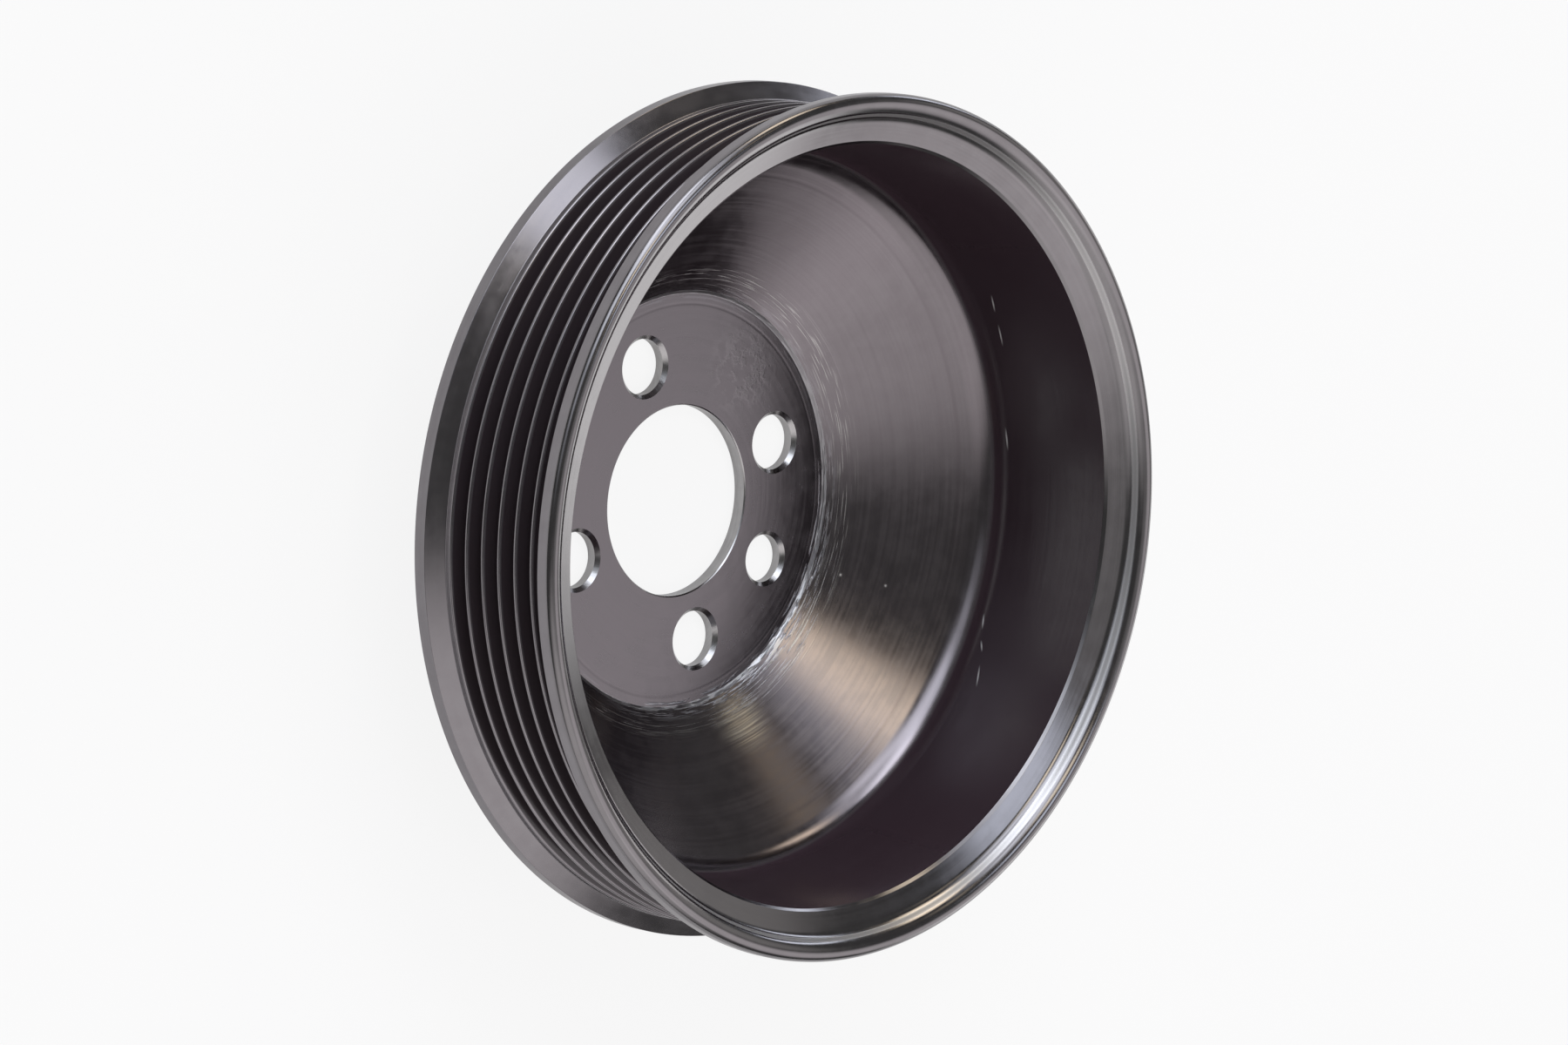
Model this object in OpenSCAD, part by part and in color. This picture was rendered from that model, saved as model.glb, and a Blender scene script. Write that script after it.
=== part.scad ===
// Ribbed belt pulley: a dished one-piece steel pulley with a multi-V belt track.
// Millimetres. +Z runs along the turning axis to the open side, and Z = 0 is the hub's mounting face.

/* [Belt track] */
// Distance from one rib to the next
rib_pitch = 3.56; // [2.34:0.01:4.7]
// Number of V grooves in the track
groove_count = 6; // [3:1:10]
// Angle between a groove's two flanks, in degrees
groove_angle = 40; // [34:0.5:46]
// Diameter over the rib crests
crest_d = 131.0; // [115.0:0.5:150.0]
// Radius of the rib crests
crest_round = 0.3; // [0.15:0.01:0.4]
// Radius at the bottom of the grooves
root_round = 0.5; // [0.2:0.01:0.6]
// Flat land between the back flange and the first groove
land_width = 0.85; // [0.5:0.05:3.0]

/* [Flanges] */
// Height of both flanges above the rib crests
flange_height = 2.7; // [1.5:0.1:5.0]
// Height of the back flange's rear face above the hub face
rim_offset = 14.3; // [10.0:0.1:20.0]
// Width of the back flange's outer band
back_band = 2.45; // [1.2:0.05:5.0]
// Axial run of the slope between the back band and the land
back_slope = 1.8; // [0.8:0.05:4.0]
// Radius of the back flange's rear edge
back_round = 0.5; // [0.2:0.05:1.0]
// Width of the straight band on the front flange
front_band = 1.4; // [0.6:0.05:4.0]
// Radius of the front flange's nose
nose_round = 1.4; // [0.6:0.05:1.7]

/* [Front face] */
// Slope of the front face towards the mouth, in degrees
face_slope = 19.5; // [8:0.5:24]
// Distance from the flange's outer edge in to the step of the front face
step_inset = 3.0; // [2.6:0.1:4.5]
// Radial run of the step
step_run = 0.9; // [0.4:0.05:1.5]
// Depth of the step along the axis
step_drop = 1.8; // [0.5:0.05:2.2]
// Thickness of the rim between the groove bottoms and the mouth
rim_wall = 2.0; // [1.5:0.1:4.0]
// Width of the bevel round the mouth
mouth_bevel = 0.45; // [0.2:0.05:0.9]

/* [Dish] */
// Draft of the inner wall, in degrees
wall_draft = 4.7; // [1:0.1:6]
// Height of the wall's foot above the rim's rear face
foot_height = 3.05; // [2.5:0.05:5.0]
// Radius between the wall and the dish
dish_round = 7.0; // [3.0:0.1:9.0]
// Thickness of the dish, square to its face
dish_thickness = 3.0; // [2.0:0.1:4.0]
// Radius where the dish meets the rim's rear face
rear_round = 6.0; // [3.0:0.1:10.0]

/* [Hub] */
// Thickness of the flat hub
hub_thickness = 2.5; // [2.0:0.1:4.0]
// Diameter of the machined flat inside the hub
hub_flat_d = 66.8; // [62.0:0.1:72.0]
// Height and run of the small riser round the machined flat
hub_riser = 0.5; // [0.2:0.05:1.2]
// Radius round the hub's mounting face
hub_round = 6.0; // [3.0:0.1:10.0]
// Diameter of the centre bore
bore_d = 30.8; // [20.0:0.1:33.0]
// Broken edge of the centre bore on both faces
bore_break = 0.2; // [0.1:0.05:0.4]

/* [Bolt holes] */
// Pitch circle of all the holes in the hub
bolt_circle_d = 46.7; // [45.5:0.1:50.0]
// Diameter of the four bolt holes
bolt_hole_d = 9.0; // [5.0:0.1:10.0]
// Diameter of the locating hole
locating_hole_d = 7.8; // [4.0:0.1:10.0]
// Shift of one bolt hole, so that the pulley fits one way round only, in degrees
offset_turn = 7.5; // [0:0.5:12]
// Angle of the locating hole round the axis, in degrees
locating_angle = 132; // [124:0.5:140]
// Countersink of the holes on the dish side
hole_countersink = 0.65; // [0.2:0.05:0.8]
// Broken edge of the holes on the mounting face
hole_break = 0.3; // [0.1:0.05:0.6]

/* [Hidden] */
$fn = 180;

coat_colour = [0.10, 0.095, 0.10];
// How far a cut runs past the face that it opens
over = 0.01;
// How far the sliver at a corner reaches past that corner
bite = 0.2;
// How far a round laps onto the faces that it meets
lap = 0.0003;

half_angle = groove_angle / 2;
crest_r = crest_d / 2;
flange_r = crest_r + flange_height;
rounds = crest_round + root_round;
flank_run = rib_pitch / 2 - rounds * cos(half_angle);
groove_depth = flank_run / tan(half_angle) + rounds * (1 - sin(half_angle));
tip_r = crest_r - crest_round;
tip_tangent_r = tip_r + crest_round * sin(half_angle);
tip_tangent_z = crest_round * cos(half_angle);
root_r = crest_r - groove_depth + root_round;
root_tangent_r = root_r - root_round * sin(half_angle);
root_tangent_z = root_round * cos(half_angle);
crest_side = rib_pitch / 2 - tip_tangent_z;
groove_outline = [
    [tip_tangent_r, -crest_side],
    [root_tangent_r, -root_tangent_z],
    [root_tangent_r, root_tangent_z],
    [tip_tangent_r, crest_side]
];

band_z = rim_offset + back_band;
land_z = band_z + back_slope;
first_crest_z = land_z + land_width;
last_crest_z = first_crest_z + rib_pitch * groove_count;
front_flank_z = last_crest_z - tip_tangent_z + (flange_r - tip_tangent_r) * tan(half_angle);
nose_z = front_flank_z + front_band + nose_round / tan((90 - face_slope) / 2);
step_r = flange_r - step_inset;
step_z = nose_z - step_inset * tan(face_slope);
inner_face_r = step_r - step_run;
inner_face_z = step_z - step_drop;
mouth_r = crest_r - groove_depth - rim_wall;
bevel_r = mouth_r + mouth_bevel;
bevel_z = inner_face_z - (inner_face_r - bevel_r) * tan(face_slope);
mouth_z = bevel_z - mouth_bevel;

hub_flat_r = hub_flat_d / 2;
dish_start_r = hub_flat_r + hub_riser;
dish_start_z = hub_thickness + hub_riser;
wall_foot_z = rim_offset + foot_height;
wall_foot_r = mouth_r - (mouth_z - wall_foot_z) * tan(wall_draft);
dish_rise = (wall_foot_z - dish_start_z) / (wall_foot_r - dish_start_r);
dish_slope = atan(dish_rise);
dish_lift = dish_thickness / cos(dish_slope);
hub_back_r = dish_start_r + (dish_lift - dish_start_z) / dish_rise;
rear_r = dish_start_r + (rim_offset + dish_lift - dish_start_z) / dish_rise;
bore_r = bore_d / 2;

up_wall = [sin(wall_draft), cos(wall_draft)];
up_face = [cos(face_slope), sin(face_slope)];
up_dish = [cos(dish_slope), sin(dish_slope)];
outward = [1, 0];
upward = [0, 1];

bolt_angles = [0, 90 - offset_turn, 180, 270];

// The sliver between a corner of the section and a round that touches both of its sides
module corner_sliver(corner, side_a, side_b, radius) {
    half = acos(side_a * side_b) / 2;
    reach = radius / tan(half);
    middle = (side_a + side_b) / norm(side_a + side_b);
    centre = corner + middle * radius / sin(half);
    difference() {
        polygon([corner - middle * bite, corner + side_a * reach, centre, corner + side_b * reach]);
        translate(centre) circle(r = radius + lap);
    }
}

// The back of the section, from the bore out to the land behind the first groove
function back_outline() = [
    [bore_r, bore_break],
    [bore_r + bore_break, 0],
    [hub_back_r, 0],
    [rear_r, rim_offset],
    [flange_r, rim_offset],
    [flange_r, band_z],
    [crest_r, land_z],
    [crest_r, first_crest_z]
];

// The flanks of all the grooves, from the back to the front
function track_outline() = [
    for (k = [0 : groove_count - 1], point = groove_outline)
        point + [0, first_crest_z + rib_pitch * (k + 0.5)]
];

// The front of the section, from the front flange in to the bore
function front_outline() = [
    [flange_r, front_flank_z],
    [flange_r, nose_z],
    [step_r, step_z],
    [inner_face_r, inner_face_z],
    [bevel_r, bevel_z],
    [mouth_r, mouth_z],
    [wall_foot_r, wall_foot_z],
    [dish_start_r, dish_start_z],
    [hub_flat_r, hub_thickness],
    [bore_r + bore_break, hub_thickness],
    [bore_r, hub_thickness - bore_break]
];

// The whole turned section: its outline, with every crest, groove bottom and corner rounded
module pulley_section() {
    difference() {
        union() {
            polygon(concat(back_outline(), track_outline(), front_outline()));
            corner_sliver([wall_foot_r, wall_foot_z], up_wall, -up_dish, dish_round);
            corner_sliver([rear_r, rim_offset], -up_dish, outward, rear_round);
        }
        for (k = [0 : groove_count - 1])
            translate([root_r, first_crest_z + rib_pitch * (k + 0.5)]) circle(r = root_round + lap);
        corner_sliver([flange_r, rim_offset], upward, -outward, back_round);
        corner_sliver([flange_r, nose_z], -up_face, -upward, nose_round);
        corner_sliver([hub_back_r, 0], up_dish, -outward, hub_round);
    }
    for (k = [0 : groove_count - 1])
        translate([tip_r, first_crest_z + rib_pitch * k]) circle(r = crest_round + lap);
}

// A hole through the hub with a countersink on the dish side and a broken edge on the mounting face
module hub_hole(diameter, angle) {
    radius = diameter / 2;
    rotate(angle) translate([bolt_circle_d / 2, 0, 0]) {
        translate([0, 0, -over]) cylinder(r = radius, h = hub_thickness + 2 * over);
        translate([0, 0, hub_thickness - hole_countersink])
            cylinder(r1 = radius, r2 = radius + hole_countersink + over, h = hole_countersink + over);
        translate([0, 0, -over]) cylinder(r1 = radius + hole_break + over, r2 = radius, h = hole_break + over);
    }
}

module pulley() {
    color(coat_colour) difference() {
        rotate_extrude() pulley_section();
        for (angle = bolt_angles) hub_hole(bolt_hole_d, angle);
        hub_hole(locating_hole_d, locating_angle);
    }
}

pulley();
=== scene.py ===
"""Studio scene of a ribbed belt pulley: one dished steel piece, turned, drilled and coated black."""
import logging
import math
from dataclasses import dataclass, field
from enum import Enum

import bpy
from mathutils import Matrix, Vector


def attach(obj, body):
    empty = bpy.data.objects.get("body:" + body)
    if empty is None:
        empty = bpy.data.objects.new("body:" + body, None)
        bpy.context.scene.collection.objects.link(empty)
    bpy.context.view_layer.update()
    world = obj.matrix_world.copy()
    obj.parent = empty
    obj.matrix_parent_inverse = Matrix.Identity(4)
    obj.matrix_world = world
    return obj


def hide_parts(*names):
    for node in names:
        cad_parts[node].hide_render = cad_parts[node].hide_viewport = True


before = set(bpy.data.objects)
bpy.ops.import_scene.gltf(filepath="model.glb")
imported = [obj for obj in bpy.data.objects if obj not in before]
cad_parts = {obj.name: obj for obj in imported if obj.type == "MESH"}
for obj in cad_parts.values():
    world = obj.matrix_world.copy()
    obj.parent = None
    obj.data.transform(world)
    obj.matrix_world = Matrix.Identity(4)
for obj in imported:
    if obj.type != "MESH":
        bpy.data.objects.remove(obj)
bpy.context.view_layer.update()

log = logging.getLogger("pulley_scene")

MM = 0.001
PIECE = "black_pulley"
BODY = "root"
NODE = "pulley"

# Points closer than this are one point of an outline, and faces thinner than a sliver are cleared away
WELD_GAP = MM / 1000
SLIVER = MM / 500
# A corner is taken as straight when half its angle is over this, in degrees
STRAIGHT_HALF = 89.5
NUMBER = "NodeSocketFloat"

Point = tuple[float, float]
Colour = tuple[float, float, float]
Node = bpy.types.Node
Tree = bpy.types.NodeTree
Socket = bpy.types.NodeSocket
Source = Socket | float | tuple[float, ...]


class Zone(Enum):
    """The stretches of the pulley that were worked in different ways."""

    TRACK = "turned_track"
    FACE = "turned_face"
    DISH = "formed_dish"
    RING = "torn_ring"
    HUB = "faced_hub"
    EDGE = "cut_edge"


@dataclass(frozen=True)
class Corner:
    """One corner of the turned section, in millimetres.

    Attributes:
        r: Distance from the turning axis.
        z: Height above the hub's mounting face.
        radius: Radius of the round at this corner.
    """

    r: float
    z: float
    radius: float


def deselect_all() -> None:
    """Leave edit mode and select nothing."""
    if bpy.context.mode != "OBJECT":
        bpy.ops.object.mode_set(mode="OBJECT")
    bpy.ops.object.select_all(action="DESELECT")


def make_active(piece: bpy.types.Object) -> None:
    """Select one object alone and make it the active one.

    Args:
        piece: The object.
    """
    deselect_all()
    piece.select_set(True)
    bpy.context.view_layer.objects.active = piece


def direction(azimuth: float, elevation: float) -> Vector:
    """Give the direction from the pulley to a place in the room.

    Args:
        azimuth: Turn round the pulley, with 0 looking along +Y, in degrees.
        elevation: Angle above the floor, in degrees.

    Returns:
        The unit vector.
    """
    a = math.radians(azimuth)
    e = math.radians(elevation)
    return Vector((math.sin(a) * math.cos(e), -math.cos(a) * math.cos(e), math.sin(e)))


def round_corner(before: Corner, corner: Corner, after: Corner, step: float) -> list[Point]:
    """Give the points of the arc that rounds one corner.

    Args:
        before: The corner in front of it on the outline.
        corner: The corner itself.
        after: The corner that follows it.
        step: Largest angle between two points of the arc, in radians.

    Returns:
        Points from the first tangent to the last, or the corner alone if it isn't rounded.
    """
    place = Vector((corner.r, corner.z))
    back = (Vector((before.r, before.z)) - place).normalized()
    ahead = (Vector((after.r, after.z)) - place).normalized()
    half = back.angle(ahead) / 2
    if corner.radius <= 0 or half > math.radians(STRAIGHT_HALF):
        return [(corner.r, corner.z)]
    centre = place + (back + ahead).normalized() * corner.radius / math.sin(half)
    reach = corner.radius / math.tan(half)
    start = place + back * reach - centre
    sweep = start.angle_signed(place + ahead * reach - centre)
    count = max(2, math.ceil(abs(sweep) / step))
    points = []
    for k in range(count + 1):
        spoke = start.copy()
        spoke.rotate(Matrix.Rotation(-sweep * k / count, 2))
        points.append((centre.x + spoke.x, centre.y + spoke.y))
    return points


def round_outline(corners: list[Corner], step: float) -> list[Point]:
    """Round every corner of a closed outline.

    Args:
        corners: The corners in order.
        step: Largest angle between two points of an arc, in radians.

    Returns:
        The points of the rounded outline, in millimetres.
    """
    points: list[Point] = []
    for k, corner in enumerate(corners):
        after = corners[(k + 1) % len(corners)]
        points += round_corner(corners[k - 1], corner, after, step)
    return points


def turn_on_lathe(name: str, outline: list[Point], steps: int) -> bpy.types.Object:
    """Trace a closed outline and spin it round the turning axis.

    Args:
        name: Name of the new object.
        outline: Points of the section as distance from the axis and height, in millimetres.
        steps: Number of steps in a full turn.

    Returns:
        The turned object, closed and with its faces pointing outwards.
    """
    deselect_all()
    bpy.ops.mesh.primitive_plane_add(size=MM, location=(0, 0, 0))
    piece = bpy.context.object
    piece.name = piece.data.name = name
    bpy.ops.object.mode_set(mode="EDIT")
    bpy.ops.mesh.select_mode(type="VERT")
    bpy.ops.mesh.select_all(action="SELECT")
    bpy.ops.mesh.merge(type="CENTER")
    first = outline[0]
    bpy.ops.transform.translate(value=(first[0] * MM, 0, first[1] * MM))
    for near, far in zip(outline, outline[1:] + outline[:1]):
        move = ((far[0] - near[0]) * MM, 0, (far[1] - near[1]) * MM)
        bpy.ops.mesh.extrude_vertices_move(TRANSFORM_OT_translate={"value": move})
    bpy.ops.mesh.select_all(action="SELECT")
    bpy.ops.mesh.remove_doubles(threshold=WELD_GAP)
    bpy.ops.mesh.spin(steps=steps, angle=2 * math.pi, center=(0, 0, 0), axis=(0, 0, 1))
    bpy.ops.mesh.select_all(action="SELECT")
    bpy.ops.mesh.remove_doubles(threshold=WELD_GAP)
    bpy.ops.mesh.normals_make_consistent(inside=False)
    bpy.ops.object.mode_set(mode="OBJECT")
    return piece


@dataclass
class BeltTrack:
    """The grooved track and its flanges, in millimetres and degrees."""

    rib_pitch: float = 3.56
    groove_count: int = 6
    groove_angle: float = 40.0
    crest_d: float = 131.0
    crest_round: float = 0.3
    root_round: float = 0.5
    land_width: float = 0.85
    flange_height: float = 2.7
    rim_offset: float = 14.3
    back_band: float = 2.45
    back_slope: float = 1.8
    back_round: float = 0.5
    front_band: float = 1.4
    edge_break: float = 0.15

    @property
    def half_rise(self) -> float:
        """Axial run of a flank for each millimetre of its height."""
        return math.tan(math.radians(self.groove_angle / 2))

    @property
    def half_lean(self) -> float:
        """Sine of half the grooves' angle."""
        return math.sin(math.radians(self.groove_angle / 2))

    @property
    def crest_r(self) -> float:
        """Radius over the rib crests."""
        return self.crest_d / 2

    @property
    def flange_r(self) -> float:
        """Radius over both flanges."""
        return self.crest_r + self.flange_height

    @property
    def apex_r(self) -> float:
        """Radius at which a rib's two flanks would meet."""
        return self.crest_r - self.crest_round + self.crest_round / self.half_lean

    @property
    def valley_r(self) -> float:
        """Radius at which a groove's two flanks would meet."""
        return self.apex_r - self.rib_pitch / 2 / self.half_rise

    @property
    def root_r(self) -> float:
        """Radius at the bottom of the grooves."""
        return self.valley_r + self.root_round / self.half_lean - self.root_round

    @property
    def first_crest_z(self) -> float:
        """Height of the crest behind the first groove."""
        return self.rim_offset + self.back_band + self.back_slope + self.land_width

    @property
    def front_flank_z(self) -> float:
        """Height at which the last flank reaches the front flange."""
        last = self.first_crest_z + self.rib_pitch * self.groove_count
        return last + (self.flange_r - self.apex_r) * self.half_rise

    def corners(self) -> list[Corner]:
        """Give the outside of the rim from the back flange to the front one.

        Returns:
            Corners from the back flange's rear edge to the front flange's first edge.
        """
        band_z = self.rim_offset + self.back_band
        land_z = band_z + self.back_slope
        shoulder_z = self.first_crest_z + (self.apex_r - self.crest_r) * self.half_rise
        found = [
            Corner(self.flange_r, self.rim_offset, self.back_round),
            Corner(self.flange_r, band_z, self.edge_break),
            Corner(self.crest_r, land_z, self.edge_break),
            Corner(self.crest_r, shoulder_z, self.crest_round),
        ]
        for k in range(self.groove_count):
            crest_z = self.first_crest_z + self.rib_pitch * k
            if k > 0:
                found.append(Corner(self.apex_r, crest_z, self.crest_round))
            found.append(Corner(self.valley_r, crest_z + self.rib_pitch / 2, self.root_round))
        found.append(Corner(self.flange_r, self.front_flank_z, self.edge_break))
        return found


@dataclass
class FrontFace:
    """The sloped and softly stepped front face, in millimetres and degrees."""

    track: BeltTrack
    nose_round: float = 1.4
    face_slope: float = 19.5
    step_inset: float = 3.0
    step_run: float = 0.9
    step_drop: float = 1.8
    rim_wall: float = 2.0
    mouth_bevel: float = 0.45
    step_round: float = 2.2
    edge_break: float = 0.12

    @property
    def rise(self) -> float:
        """Height gained for each millimetre outwards along the face."""
        return math.tan(math.radians(self.face_slope))

    @property
    def mouth_r(self) -> float:
        """Radius of the mouth."""
        return self.track.root_r - self.rim_wall

    @property
    def mouth_z(self) -> float:
        """Height of the mouth's inner edge."""
        return self.corners()[-1].z

    def corners(self) -> list[Corner]:
        """Give the front face from the flange's nose in to the mouth.

        Returns:
            Corners of the nose, the step and the mouth's bevel.
        """
        reach = self.nose_round / math.tan(math.radians(90 - self.face_slope) / 2)
        nose_z = self.track.front_flank_z + self.track.front_band + reach
        step_r = self.track.flange_r - self.step_inset
        step_z = nose_z - self.step_inset * self.rise
        inner_r = step_r - self.step_run
        inner_z = step_z - self.step_drop
        bevel_r = self.mouth_r + self.mouth_bevel
        bevel_z = inner_z - (inner_r - bevel_r) * self.rise
        return [
            Corner(self.track.flange_r, nose_z, self.nose_round),
            Corner(step_r, step_z, self.step_round),
            Corner(inner_r, inner_z, self.step_round),
            Corner(bevel_r, bevel_z, self.edge_break),
            Corner(self.mouth_r, bevel_z - self.mouth_bevel, self.edge_break),
        ]


@dataclass
class DishAndHub:
    """The inner wall, the dish and the drilled hub, in millimetres and degrees."""

    track: BeltTrack
    face: FrontFace
    wall_draft: float = 4.7
    foot_height: float = 3.05
    dish_round: float = 7.0
    dish_thickness: float = 3.0
    rear_round: float = 6.0
    hub_thickness: float = 2.5
    hub_flat_d: float = 66.8
    hub_riser: float = 0.5
    hub_round: float = 6.0
    riser_round: float = 0.25
    bore_d: float = 30.8
    bore_break: float = 0.2
    edge_break: float = 0.05

    @property
    def foot(self) -> Point:
        """Corner where the wall and the dish would meet.

        Returns:
            Its distance from the axis and its height.
        """
        z = self.track.rim_offset + self.foot_height
        draft = math.tan(math.radians(self.wall_draft))
        return self.face.mouth_r - (self.face.mouth_z - z) * draft, z

    @property
    def start(self) -> Point:
        """Corner where the dish begins, at the top of the riser."""
        return self.hub_flat_d / 2 + self.hub_riser, self.hub_thickness + self.hub_riser

    @property
    def rise(self) -> float:
        """Height gained for each millimetre outwards along the dish."""
        return (self.foot[1] - self.start[1]) / (self.foot[0] - self.start[0])

    def inner_corners(self) -> list[Corner]:
        """Give the inside from the wall's foot to the bore's front edge.

        Returns:
            Corners of the dish, the riser, the hub's flat and the bore.
        """
        flat_r = self.hub_flat_d / 2
        bore_r = self.bore_d / 2
        return [
            Corner(*self.foot, self.dish_round),
            Corner(*self.start, self.riser_round),
            Corner(flat_r, self.hub_thickness, self.riser_round),
            Corner(bore_r + self.bore_break, self.hub_thickness, self.edge_break),
            Corner(bore_r, self.hub_thickness - self.bore_break, self.edge_break),
        ]

    def outer_corners(self) -> list[Corner]:
        """Give the back from the bore's rear edge to the rim's rear face.

        Returns:
            Corners of the bore, the mounting face and the dish's back.
        """
        bore_r = self.bore_d / 2
        lift = self.dish_thickness * math.hypot(1, self.rise)
        base_r = self.start[0] + (lift - self.start[1]) / self.rise
        rear_r = base_r + self.track.rim_offset / self.rise
        return [
            Corner(bore_r, self.bore_break, self.edge_break),
            Corner(bore_r + self.bore_break, 0, self.edge_break),
            Corner(base_r, 0, self.hub_round),
            Corner(rear_r, self.track.rim_offset, self.rear_round),
        ]


@dataclass
class HubHoles:
    """The holes drilled through the hub, in millimetres and degrees."""

    thickness: float
    circle_d: float = 46.7
    bolt_d: float = 9.0
    locating_d: float = 7.8
    offset_turn: float = 7.5
    locating_angle: float = 132.0
    countersink: float = 0.65
    rear_break: float = 0.3
    overshoot: float = 0.5
    steps: int = 96

    def places(self) -> list[tuple[float, float]]:
        """Give each hole's angle round the axis and its diameter."""
        bolts = [0.0, 90.0 - self.offset_turn, 180.0, 270.0]
        return [(angle, self.bolt_d) for angle in bolts] + [(self.locating_angle, self.locating_d)]

    def cutter_outline(self, diameter: float) -> list[Point]:
        """Give the section of the drill that makes one hole.

        Args:
            diameter: The hole's diameter.

        Returns:
            Points from the axis at the mounting face to the axis on the open side.
        """
        radius = diameter / 2
        top = self.thickness + self.overshoot
        return [
            (0, -self.overshoot),
            (radius + self.rear_break + self.overshoot, -self.overshoot),
            (radius, self.rear_break),
            (radius, self.thickness - self.countersink),
            (radius + self.countersink + self.overshoot, top),
            (0, top),
        ]

    def drill(self, piece: bpy.types.Object) -> None:
        """Cut all the holes out of a piece.

        Args:
            piece: The turned pulley.
        """
        cutters = []
        for k, (angle, diameter) in enumerate(self.places()):
            cutter = turn_on_lathe(f"drill_{k}", self.cutter_outline(diameter), self.steps)
            turn = Matrix.Rotation(math.radians(angle), 4, "Z")
            cutter.location = turn @ Vector((self.circle_d / 2 * MM, 0, 0))
            cutters.append(cutter)
        make_active(cutters[0])
        for cutter in cutters:
            cutter.select_set(True)
        bpy.ops.object.join()
        drill = bpy.context.object
        make_active(piece)
        modifier = piece.modifiers.new("drilling", "BOOLEAN")
        modifier.operation = "DIFFERENCE"
        modifier.solver = "EXACT"
        modifier.object = drill
        bpy.ops.object.modifier_apply(modifier=modifier.name)
        bpy.data.objects.remove(drill)
        bpy.ops.object.mode_set(mode="EDIT")
        bpy.ops.mesh.select_all(action="SELECT")
        bpy.ops.mesh.remove_doubles(threshold=SLIVER)
        bpy.ops.mesh.dissolve_degenerate(threshold=SLIVER)
        bpy.ops.object.mode_set(mode="OBJECT")


class Wiring:
    """Adds nodes to one tree and joins them."""

    # Places of the colour sockets on a Mix node
    MIX_FIRST = 6
    MIX_SECOND = 7
    MIX_RESULT = 2
    # Share of a patch's radius that is fully marked
    PATCH_CORE = 0.2

    def __init__(self, tree: Tree) -> None:
        """Keep the tree that the nodes go into."""
        self.tree = tree

    def add(self, kind: str, **settings: object) -> Node:
        """Add one node.

        Args:
            kind: The node's type.
            **settings: Properties to set on it.

        Returns:
            The new node.
        """
        node = self.tree.nodes.new(kind)
        for key, value in settings.items():
            setattr(node, key, value)
        return node

    def feed(self, target: Socket, source: Source) -> None:
        """Join a socket to another one, or set its own value.

        Args:
            target: The socket that takes the value.
            source: Another socket, or the value.
        """
        if isinstance(source, Socket):
            self.tree.links.new(source, target)
        else:
            target.default_value = source

    def math(self, operation: str, first: Source, second: Source = 0.0) -> Socket:
        """Join two values by one operation.

        Args:
            operation: The Math node's operation.
            first: First value.
            second: Second value.

        Returns:
            The result.
        """
        node = self.add("ShaderNodeMath", operation=operation)
        self.feed(node.inputs[0], first)
        self.feed(node.inputs[1], second)
        return node.outputs[0]

    def plus(self, base: Source, mask: Source, amount: float) -> Socket:
        """Add a mask to a value, where the full mask adds the amount."""
        return self.math("ADD", base, self.math("MULTIPLY", mask, amount))

    def vector(self, operation: str, first: Source, second: Source) -> Node:
        """Join two vectors by one operation.

        Args:
            operation: The Vector Math node's operation.
            first: First vector.
            second: Second vector.

        Returns:
            The new node.
        """
        node = self.add("ShaderNodeVectorMath", operation=operation)
        self.feed(node.inputs[0], first)
        self.feed(node.inputs[1], second)
        return node

    def ramp(
        self, value: Source, low: float, high: float, start: float = 0.0, end: float = 1.0
    ) -> Socket:
        """Blend softly from one value to another.

        Args:
            value: The value that drives the blend.
            low: Where the blend begins.
            high: Where it ends.
            start: Result below the blend.
            end: Result above the blend.

        Returns:
            The blended value.
        """
        node = self.add("ShaderNodeMapRange", interpolation_type="SMOOTHSTEP")
        self.feed(node.inputs["Value"], value)
        limits = {"From Min": low, "From Max": high, "To Min": start, "To Max": end}
        for name, number in limits.items():
            node.inputs[name].default_value = number
        return node.outputs["Result"]

    def band(self, value: Source, middle: float, half: float) -> Socket:
        """Give 1 in the middle of a band and 0 outside it, where half is half of its width."""
        away = self.math("ABSOLUTE", self.math("SUBTRACT", value, middle))
        return self.ramp(away, 0.0, half, 1.0, 0.0)

    def patch(self, centre: Vector, size: float) -> Socket:
        """Give 1 in the middle of a round patch and 0 outside it.

        Args:
            centre: Middle of the patch, in millimetres.
            size: Radius at which it has faded out, in millimetres.

        Returns:
            The mask.
        """
        spot = self.add("ShaderNodeTexCoord").outputs["Object"]
        away = self.vector("DISTANCE", spot, centre * MM).outputs["Value"]
        return self.ramp(away, self.PATCH_CORE * size * MM, size * MM, 1.0, 0.0)

    def both(self, first: Source, second: Source) -> Socket:
        """Give where two masks both show."""
        return self.math("MULTIPLY", first, second)

    def blend(self, share: Source, first: Source, second: Source) -> Socket:
        """Mix two colours.

        Args:
            share: Share of the second colour.
            first: First colour.
            second: Second colour.

        Returns:
            The mixed colour.
        """
        node = self.add("ShaderNodeMix", data_type="RGBA")
        self.feed(node.inputs["Factor"], share)
        for place, colour in ((self.MIX_FIRST, first), (self.MIX_SECOND, second)):
            self.feed(node.inputs[place], colour if isinstance(colour, Socket) else (*colour, 1))
        return node.outputs[self.MIX_RESULT]

    def group(self, tree: Tree, **values: float) -> Node:
        """Add a shared effect.

        Args:
            tree: The effect's node group.
            **values: Values for its inputs.

        Returns:
            The group's node.
        """
        node = self.add("ShaderNodeGroup", node_tree=tree)
        for name, value in values.items():
            node.inputs[name].default_value = value
        return node


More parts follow.
